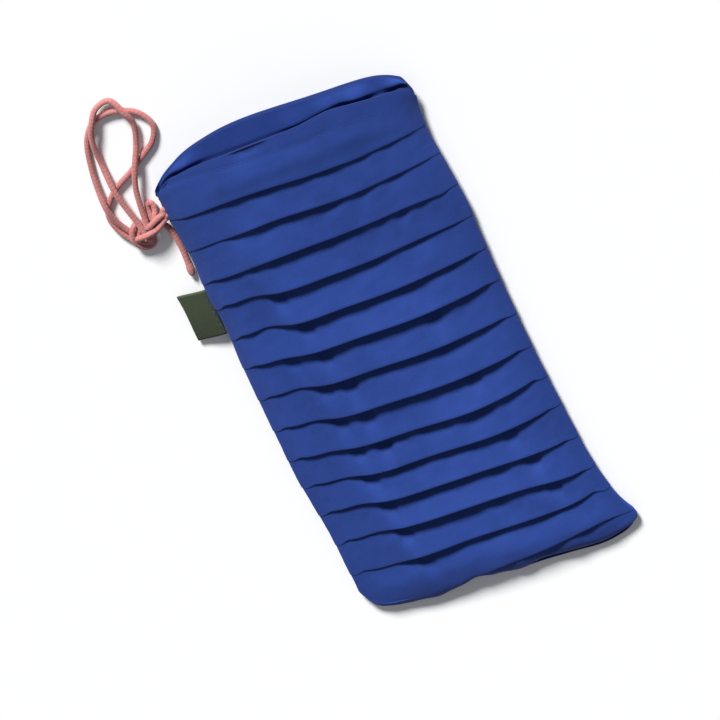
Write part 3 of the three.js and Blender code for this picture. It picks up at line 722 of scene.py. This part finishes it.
def band_height(k, u, v, share):
    """Height of the band beyond fold k, where share runs from 0 at that fold to 1 at the next."""
    start = band_start(u)
    last = k > len(FOLDS)
    end = start * 0.5 if last else lip_height(k + 1, u)
    rise = np.clip(share, 0, 1) ** BAND_BEND
    height = start + (end - start) * rise
    x, y = plan_x(u, v), plan_y(u, v)
    settled = np.sin(np.clip(share, 0, 1) * math.pi)
    height = height + BAND_RIPPLE * settled * gaping(u) * ripple(x * 1.6, y * 0.7, 7, 19)
    height = height + FINE_RIPPLE * settled * ripple(x, y, 8, 5)
    if k > 0:
        beyond = v - fold_line(k, u)
        uneven = 0.4 + 0.6 * ripple(u * HALF_MOUTH, 0 * u, 70 + k, 9)
        height = height - SCALLOP * uneven * gaping(u) * np.exp(-((beyond / SCALLOP_LENGTH) ** 2))
    for fold, place, depth in POCKETS:
        if fold == k:
            aside = (u - place) * HALF_MOUTH / POCKET_HALF_WIDTH
            down = (v - fold_line(k, u) - 1) / POCKET_LENGTH
            height = height - POCKET_DEPTH * depth * np.exp(-(aside**4) - down**2)
    height = np.maximum(height, DEEPEST)
    if k == 0:
        crease = (v - through(HEADING_CREASE, u)) / SEWN_HALF_WIDTH
        height = height - SEWN_DEPTH * np.exp(-(crease**2)) * smooth((0.9 - u) / 0.8)
        beside = (v - CHANNEL_MIDDLE) / CHANNEL_HALF
        height = height + CORD_SWELL * np.exp(-(beside**2)) * gaping(u)
        aside = (u - PUCKER_PLACE) * HALF_MOUTH / PUCKER_HALF_WIDTH
        down = (v - PUCKER_DOWN) / PUCKER_HALF_LENGTH
        height = height - PUCKER_DEPTH * np.exp(-(aside**2) - down**2)
    return height


def bottom_line(u):
    step = SEAM_STEP * smooth((u - SEAM_STEP_START) / SEAM_STEP_RUN)
    return through(BOTTOM_EDGE, u) - step - SEAM_SETBACK


def end_swell(u, v):
    started = smooth((v - fold_line(len(FOLDS), u) - END_RISE[0]) / END_RISE[1])
    fall = lerp(*END_FALL, smooth((u + 0.3) / 0.4))
    within = 1 - np.abs(u) ** EDGE_POWER
    return END_SWELL * started * smooth((bottom_line(u) - v) / fall) * within


def corner_free(u):
    """No painted shade on the hem's edge right at the label's corner of the mouth."""
    return smooth((u - HEM_SHADE[0]) / HEM_SHADE[1])


def front_rows(u, drop):
    """The cloth's way over the front from its mouth hem to the bottom seam: place down the side,
    height over the lining, and how much painted shade its hem's rolled edge gets. drop is how far
    each line along the cloth has turned down over a seam."""
    rows = []

    def add_row(v, height, painted_shade=0.0):
        rows.append((v, height + end_swell(u, v), painted_shade + 0 * u))

    def add_arc(angles, v, height, radius, painted_shade=0.0):
        for angle in np.radians(angles):
            add_row(v + radius * np.cos(angle), height + radius * np.sin(angle), painted_shade)

    mouth = through(FRONT_MOUTH_EDGE, u) + drop
    hem = HEM_RADIUS
    hem_top = band_start(u)
    for depth in (HEM_DEPTH, HEM_DEPTH * 0.6, HEM_DEPTH * 0.25):
        add_row(mouth + hem + depth, hem_top - 2 * hem)
    # The hem's rolled edge gets painted shade.
    add_arc(np.linspace(270, 105, 9), mouth + hem, hem_top - hem, hem, 1.0)
    start = mouth + hem
    for k in range(len(FOLDS) + 2):
        last = k > len(FOLDS)
        radius = lerp(SIDE_LIP_RADIUS, LIP_RADIUS, gaping(u))
        end = bottom_line(u) - SEAM_ROLL if last else fold_line(k + 1, u) - radius
        count = BAND_ROWS // 2 if last else BAND_ROWS
        for share in np.linspace(0, 1, count + 1):
            v = lerp(start, end, share)
            add_row(v, band_height(k, u, v, share))
        if last:
            break
        edge, top = fold_line(k + 1, u), lip_height(k + 1, u)
        add_arc([65, 40, 15, -10, -35, -62, -90], edge - radius, top - radius, radius)
        fold_in = LAST_UNDERLAP if k == len(FOLDS) else UNDERLAP
        crease = lerp(SIDE_CREASE_RADIUS, CREASE_RADIUS, gaping(u))
        for share in (0.33, 0.67):
            add_row(lerp(edge - radius, edge - fold_in, share),
                    lerp(top - 2 * radius, CREASE_FLOOR + 2 * crease, smooth(share)))
        add_arc([90, 135, 180, 225, 270], edge - fold_in, CREASE_FLOOR + crease, crease)
        start = edge
        for share in (0.3, 0.65):
            v = lerp(edge - fold_in, edge, share)
            add_row(v, lerp(CREASE_FLOOR, band_height(k + 1, u, v, 0.0), smooth(share)))
    over = band_height(len(FOLDS) + 1, u, end, 1.0)
    add_arc([70, 48, 26, 4, -18, -40], end, -SEAM_ROLL, SEAM_ROLL + over)
    return rows


def fasten(piece, body):
    """A front piece has its placement baked into its points; any other piece hangs from its body's empty.
    """
    if body == "front":
        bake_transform(piece)
    else:
        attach(piece, body)


def lay_out(piece, node, body):
    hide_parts(node)
    fasten(piece, body)


front_columns = Columns()
rows = front_rows(front_columns.u, front_columns.drop)
front_points = np.stack([front_columns.place(front_under, v, height) for v, height, _ in rows])
front_cloth = cloth_piece("front_cloth", front_points, SHELL, POUCH_CLOTH,
                          np.stack([painted_shade for _, _, painted_shade in rows]) * corner_free(front_columns.u))
lay_out(front_cloth, "front_panel", "front")


# Back of the pouch, flat on the table, with its turned hem at the mouth

def back_rows(u):
    rows = []
    mouth = through(BACK_MOUTH_EDGE, u)
    r = BACK_HEM_RADIUS
    for depth in (HEM_DEPTH, HEM_DEPTH * 0.5, HEM_DEPTH * 0.2):
        rows.append((mouth + r + depth, 2 * r, 0.0))
    # The hem's roll at the mouth gets painted shade.
    for angle in np.radians(np.linspace(90, -90, 9)):
        rows.append((mouth + r - r * np.cos(angle), r + r * np.sin(angle), 1.0))
    bottom = through(BOTTOM_EDGE, u)
    for share in np.linspace(0, 1, 90)[1:]:
        rows.append((lerp(mouth + r, bottom - r, share), 0.0, 0.0))
    # The roll at the bottom seam gets painted shade.
    for angle in np.radians([25, 50, 75, 100]):
        rows.append((bottom - r + r * np.sin(angle), r - r * np.cos(angle), 1.0))
    return rows


CORNER_CURL = (2.2, 1.6)  # how far the back curls up round its left and right mouth corners
CORNER_CURL_START = 0.92  # share of the half width
CORNER_CURL_END = 5.5
CORNER_CURL_FALL = 3
EDGE_CURL = 0.4  # what every side edge of the back curls up
EDGE_CURL_START = 0.985
BACK_CLEARANCE = 0.12  # between the table and the back
LOBE = 1.1  # how far the back's corner bulges out beyond the front's, on the label's side
LOBE_PLACE = 3.2
LOBE_LENGTH = 3
back_u = across(BACK_COLUMNS)
back_points = []
back_painted_shade = []
for v, height, painted_shade in back_rows(back_u):
    side = np.abs(back_u)
    curl = EDGE_CURL * np.clip((side - EDGE_CURL_START) / (1 - EDGE_CURL_START), 0, 1) ** 2
    corner = smooth((side - CORNER_CURL_START) / (1 - CORNER_CURL_START))
    corner = corner * smooth((CORNER_CURL_END - v) / CORNER_CURL_FALL)
    curl = curl + np.where(back_u < 0, *CORNER_CURL) * corner
    z = back_under(back_u, v) + SHELL / 2 + BACK_CLEARANCE + np.maximum(height, curl)
    bulge = LOBE * np.exp(-(((v - LOBE_PLACE) / LOBE_LENGTH) ** 2))
    bulge = bulge * (back_u < 0) * side**EDGE_POWER
    x = plan_x(back_u, v) - bulge
    back_points.append(np.stack([x, plan_y(back_u, v), z], -1))
    back_painted_shade.append(painted_shade * corner_free(back_u))
back_cloth = cloth_piece("back_cloth", np.stack(back_points)[:, ::-1], SHELL, POUCH_CLOTH,
                         np.stack(back_painted_shade)[:, ::-1])
lay_out(back_cloth, "back_panel", "pouch_back")


# Facings over the cord's channel and the linings, inside

INSIDE_SHELL = 0.3  # thickness of the facings and linings
INSIDE_COLUMNS = 56
INSIDE_ROWS = 60


def inside_sheet(name, node, material, share, first, last, surface, height, body):
    u = across(INSIDE_COLUMNS, share)
    points = []
    for part in np.linspace(0, 1, INSIDE_ROWS):
        v = lerp(first(u), last, part) + 0 * u
        points.append(np.stack([plan_x(u, v), plan_y(u, v), surface(u, v) + height(u, v)], -1))
    points = np.stack(points)
    # The first row is marked for painted shade on its edge, except at the label's corner; only cloth with
    # a hem colour shows it.
    edge = np.zeros(points.shape[:2])
    edge[0] = corner_free(u)
    piece = cloth_piece(name, points, INSIDE_SHELL, material, edge)
    lay_out(piece, node, body)


# Places across where the facing puffs up beside the mouth, and how high
PUFFS = [(-0.78, 1.2), (0.07, 0.8), (0.33, 1.2), (0.56, 1.8), (0.9, 1.3)]
PUFF_HALF_WIDTH = 0.1
PUFF_CREST = (7.5, -2.6)  # how far in the puffs are highest: more under the middle of the mouth
RIM_LIFT = 0.4  # what the facing lies higher there, on the rolled hem
CORD_COVER = 2.4  # how far the facing rises over the cord
COVER_START = -0.42  # from here to the label's seam it covers both cord ends
COVER_TOP = 5.0
COVER_GROWTH = 0.14
COVER_SHIFT = 0.4  # the cord's middle there, further in than the channel's
COVER_HALF_WIDTH = (2.3, 3.0)  # over one cord, and over both ends
RIM_FALL = 1.8
FACING_LIFT = 0.3  # from the cloth under it to the facing


def back_facing_height(u, v):
    """The facing starts on the hem, puffs up a little, falls and then rises over the cord."""
    crest = sum(high * np.exp(-(((u - place) / PUFF_HALF_WIDTH) ** 2)) for place, high in PUFFS)
    top = through(FRONT_MOUTH_EDGE, u) + PUFF_CREST[0] * arch(u) + PUFF_CREST[1]
    rim = through(BACK_MOUTH_EDGE, u)
    rise = np.clip((v - rim) / np.maximum(top - rim, 1), 0, 1)
    fall = 1 - smooth((v - top) / RIM_FALL)
    covered = smooth((COVER_START - u) / COVER_GROWTH)
    high = lerp(CORD_COVER, COVER_TOP - back_top(u, v), covered)
    middle = CHANNEL_MIDDLE + lerp(COVER_SHIFT, LEAD_SAG, covered)
    over_cord = high * np.exp(-(((v - middle) / lerp(*COVER_HALF_WIDTH, covered)) ** 4))
    return FACING_LIFT + (RIM_LIFT + crest * smooth(rise)) * fall + over_cord


FRONT_FACING_DROP = 1.25  # the front's facing hangs this much below its cloth,
FRONT_FACING_DIP = 1.9  # and lower where the cord lies between the two
LINING_MARGIN = 12  # from the linings' lower ends to the bottom seam


def front_facing_height(u, v):
    dip = FRONT_FACING_DIP * np.exp(-(((v - CHANNEL_MIDDLE) / CHANNEL_HALF) ** 4))
    return -FRONT_FACING_DROP - dip * smooth((0.97 - np.abs(u)) / 0.15)


inside_sheet("back_inner_facing", "back_facing", POUCH_CLOTH, 0.97,
             lambda u: through(BACK_MOUTH_EDGE, u) + 0.2, FACING_END, back_top,
             back_facing_height, "pouch_back")
inside_sheet("front_inner_facing", "front_facing", LINING_CLOTH, 0.9,
             lambda u: through(FRONT_MOUTH_EDGE, u) + 1.5, FACING_END, front_under,
             front_facing_height, "front")
inside_sheet("back_lining_sheet", "back_lining", LINING_CLOTH, 0.9,
             lambda u: 15.5, SIDE_LENGTH - LINING_MARGIN, back_top,
             lambda u, v: 0.28 + 0.1 * ripple(u * HALF_MOUTH, v, 3, 14) * (1 - u**2),
             "pouch_back")
inside_sheet("front_lining_sheet", "front_lining", LINING_CLOTH, 0.9,
             lambda u: 16.0, SIDE_LENGTH - LINING_MARGIN, front_under,
             lambda u, v: -1.1 + 0.25 * ripple(u * HALF_MOUTH, v, 4, 14) * (1 - u**2),
             "front")


# Hidden runs of the cord, in the channels between cloth and facing

# Height of each run over the cloth under it, and between which places across it lies
BACK_RUN = (1.25, -0.42, 0.86)
FRONT_RUN = (-1.2, -0.6, 0.78)


def cord_run(name, node, surface, height, first, last, body):
    u = np.linspace(first, last, 90)
    path = np.stack([plan_x(u, CHANNEL_MIDDLE), plan_y(u, CHANNEL_MIDDLE),
                     surface(u, CHANNEL_MIDDLE) + height], -1)
    run = tube(name, path, CORD_DIAMETER / 2, CORD_BRAID, sides=10)
    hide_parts(node)
    fasten(run, body)


cord_run("drawstring_in_back", "drawstring_back_run", back_top, *BACK_RUN, "pouch_back")
cord_run("drawstring_in_front", "drawstring_front_run", front_under, *FRONT_RUN, "front")


# Stitches

STITCH_LENGTH = 2.0
STITCH_GAP = 0.7
STITCH_RADIUS = 0.13
FIRST_STITCH = 0.3  # from the start of a line


def stitches(name, node, line, lift, body):
    """Short lengths of thread along a line, each bowed up by lift at its middle."""
    far = far_along(line)
    points, faces = [], []
    for start in np.arange(FIRST_STITCH, far[-1] - STITCH_LENGTH, STITCH_LENGTH + STITCH_GAP):
        along = np.linspace(start, start + STITCH_LENGTH, 6)
        middle = np.stack([np.interp(along, far, line[:, i]) for i in range(3)], -1)
        middle[:, 2] += lift * np.sin(np.linspace(0, math.pi, 6)) - lift * 0.4
        ahead = middle[-1] - middle[0]
        ahead /= np.linalg.norm(ahead)
        side = np.cross(ahead, (0, 0, 1))
        side /= np.linalg.norm(side)
        above = np.cross(side, ahead)
        slim = STITCH_RADIUS * np.array([0.4, 0.9, 1, 1, 0.9, 0.4])
        first = len(points)
        for centre, r in zip(middle, slim):
            for a in np.linspace(0, 2 * math.pi, 7)[:-1]:
                points.append(centre + r * (side * math.cos(a) + above * math.sin(a)))
        ring = first + np.arange(36).reshape(6, 6)
        nxt = np.roll(ring, -1, axis=1)
        faces += list(np.stack([ring[:-1], nxt[:-1], nxt[1:], ring[1:]], -1).reshape(-1, 4))
        faces += [ring[0][[0, 3, 2, 1]], ring[0][[0, 5, 4, 3]]]
        faces += [ring[-1][[0, 1, 2, 3]], ring[-1][[0, 3, 4, 5]]]
    piece = mesh_piece(name, points, faces, SEAM_THREAD, uv=np.asarray(points)[:, :2])
    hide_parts(node)
    fasten(piece, body)


def line_across(surface, where, height, share):
    u = np.linspace(-share, share, 160)
    v = where(u) + 0 * u
    return np.stack([plan_x(u, v), plan_y(u, v), surface(u, v) + height(u, v)], -1)


def crease_height(u, v):
    mouth = through(FRONT_MOUTH_EDGE, u) + HEM_RADIUS
    share = (v - mouth) / (fold_line(1, u) - mouth)
    return band_height(0, u, v, share) + SHELL / 2 - 0.04


stitches("front_heading_stitches", "front_heading_stitch",
         line_across(front_under, lambda u: through(HEADING_CREASE, u), crease_height, 0.9), 0.05,
         "front")
stitches("front_channel_stitches", "front_channel_stitch",
         line_across(front_under, lambda u: fold_line(1, u) - 1.2, lambda u, v: 0.45, 0.9), 0.1,
         "front")
stitches("back_heading_stitches", "back_heading_stitch",
         line_across(back_top, lambda u: HEADING - 0.4, lambda u, v: 0.3, 0.9), 0.05, "pouch_back")
stitches("back_channel_stitches", "back_channel_stitch",
         line_across(back_top, lambda u: CHANNEL_END + 0.3, lambda u, v: 1.15, 0.9), 0.1,
         "pouch_back")


SEAM_THREAD_INSET = 0.4
SEAM_THREAD_HEIGHT = 0.95


def seam_line(side, first, last):
    v = np.linspace(first, last, 300)
    u = np.full(v.shape, float(side))
    return np.stack([plan_x(u, v) - side * SEAM_THREAD_INSET, plan_y(u, v),
                     back_under(u, v) + SEAM_THREAD_HEIGHT], -1)


stitches("left_seam_stitches", "left_seam_thread", seam_line(-1, 9, 174), 0.1, "pouch_back")
stitches("right_seam_stitches", "right_seam_thread", seam_line(1, 2, 174), 0.1, "pouch_back")
stitches("bottom_seam_stitches", "bottom_seam_thread",
         line_across(back_under, lambda u: bottom_line(u) - 0.9, lambda u, v: 0.75, 0.95), 0.1,
         "pouch_back")


# Label: a bare woven ribbon folded in half, its ends caught in the seam

LABEL_MIDDLE_Y = 34.2
LABEL_LENGTH = 17.7
LABEL_ROOT_X = -48.6
LABEL_TIP_X = -58.5
LABEL_SEAM_HEIGHT = 2.9
LABEL_TIP_HEIGHT = 1.7
LABEL_HALF_GAP = 0.24
LABEL_SHELL = 0.26
LABEL_WAVE = 0.25  # how unevenly its free end lies
LABEL_BOW = 0.15
LABEL_STITCH_INSET = 0.7
LABEL_STITCH_LIFT = 0.45


def label_points():
    across_way = np.linspace(0, 1, 14)
    fold = np.radians([60, 30, 0, -30, -60])
    way = [(s, 1.0) for s in across_way] + [(1 + 0.02 * math.cos(a), math.sin(a)) for a in fold]
    way += [(s, -1.0) for s in across_way[::-1]]
    y = np.linspace(-0.5, 0.5, 24)
    points = []
    for s, side in way:
        x = lerp(LABEL_ROOT_X, LABEL_TIP_X, s) + 0 * y + LABEL_WAVE * s * np.sin(y * 5 + 1)
        z = lerp(LABEL_SEAM_HEIGHT, LABEL_TIP_HEIGHT, smooth(s)) + side * LABEL_HALF_GAP
        z = z + LABEL_WAVE * s * np.cos(y * 6) + LABEL_BOW * np.sin(s * math.pi)
        points.append(np.stack([x, LABEL_MIDDLE_Y + y * LABEL_LENGTH, z], -1))
    return np.stack(points)


label = cloth_piece("woven_side_label", label_points(), LABEL_SHELL, LABEL_RIBBON)
lay_out(label, "side_label", "label")
label_side = np.linspace(-0.4, 0.4, 40)
label_line = np.stack([np.full(40, LABEL_ROOT_X - LABEL_STITCH_INSET),
                       LABEL_MIDDLE_Y + label_side * LABEL_LENGTH,
                       np.full(40, LABEL_SEAM_HEIGHT + LABEL_STITCH_LIFT)], -1)
stitches("label_stitches", "label_stitch", label_line, 0.08, "pouch_back")


# Table and light

TABLE_SIZE = 3000
KEY_ELEVATION = 27
KEY_SPREAD = 13
KEY_STRENGTH = 5.55
FILL = 0.22


def table_and_light():
    half = TABLE_SIZE / 2
    corners = [(-half, -half, 0), (half, -half, 0), (half, half, 0), (-half, half, 0)]
    table = mesh_piece("table_top", corners, [(0, 1, 2, 3)], TABLE_PAPER)
    data = bpy.data.lights.new("window_light", "SUN")
    data.energy = KEY_STRENGTH
    data.angle = math.radians(KEY_SPREAD)
    key = bpy.data.objects.new("window_light", data)
    elevation = math.radians(KEY_ELEVATION)
    towards = Vector((0, math.cos(elevation), math.sin(elevation)))
    key.rotation_euler = towards.to_track_quat("Z", "Y").to_euler()
    bpy.context.scene.collection.objects.link(key)
    world = bpy.data.worlds.new("studio")
    bpy.context.scene.world = world
    world.use_nodes = True
    tree = world.node_tree
    tree.nodes.clear()
    seen = add(tree, "LightPath", out="Is Camera Ray")
    fill = add(tree, "Background", {"Color": linear("f4f7ff"), "Strength": FILL})
    white = add(tree, "Background", {"Color": linear("ffffff"), "Strength": 1.0})
    add(tree, "OutputWorld", {"Surface": add(tree, "MixShader", {0: seen, 1: fill, 2: white})})
    bpy.context.scene.view_settings.view_transform = "Standard"


table_and_light()
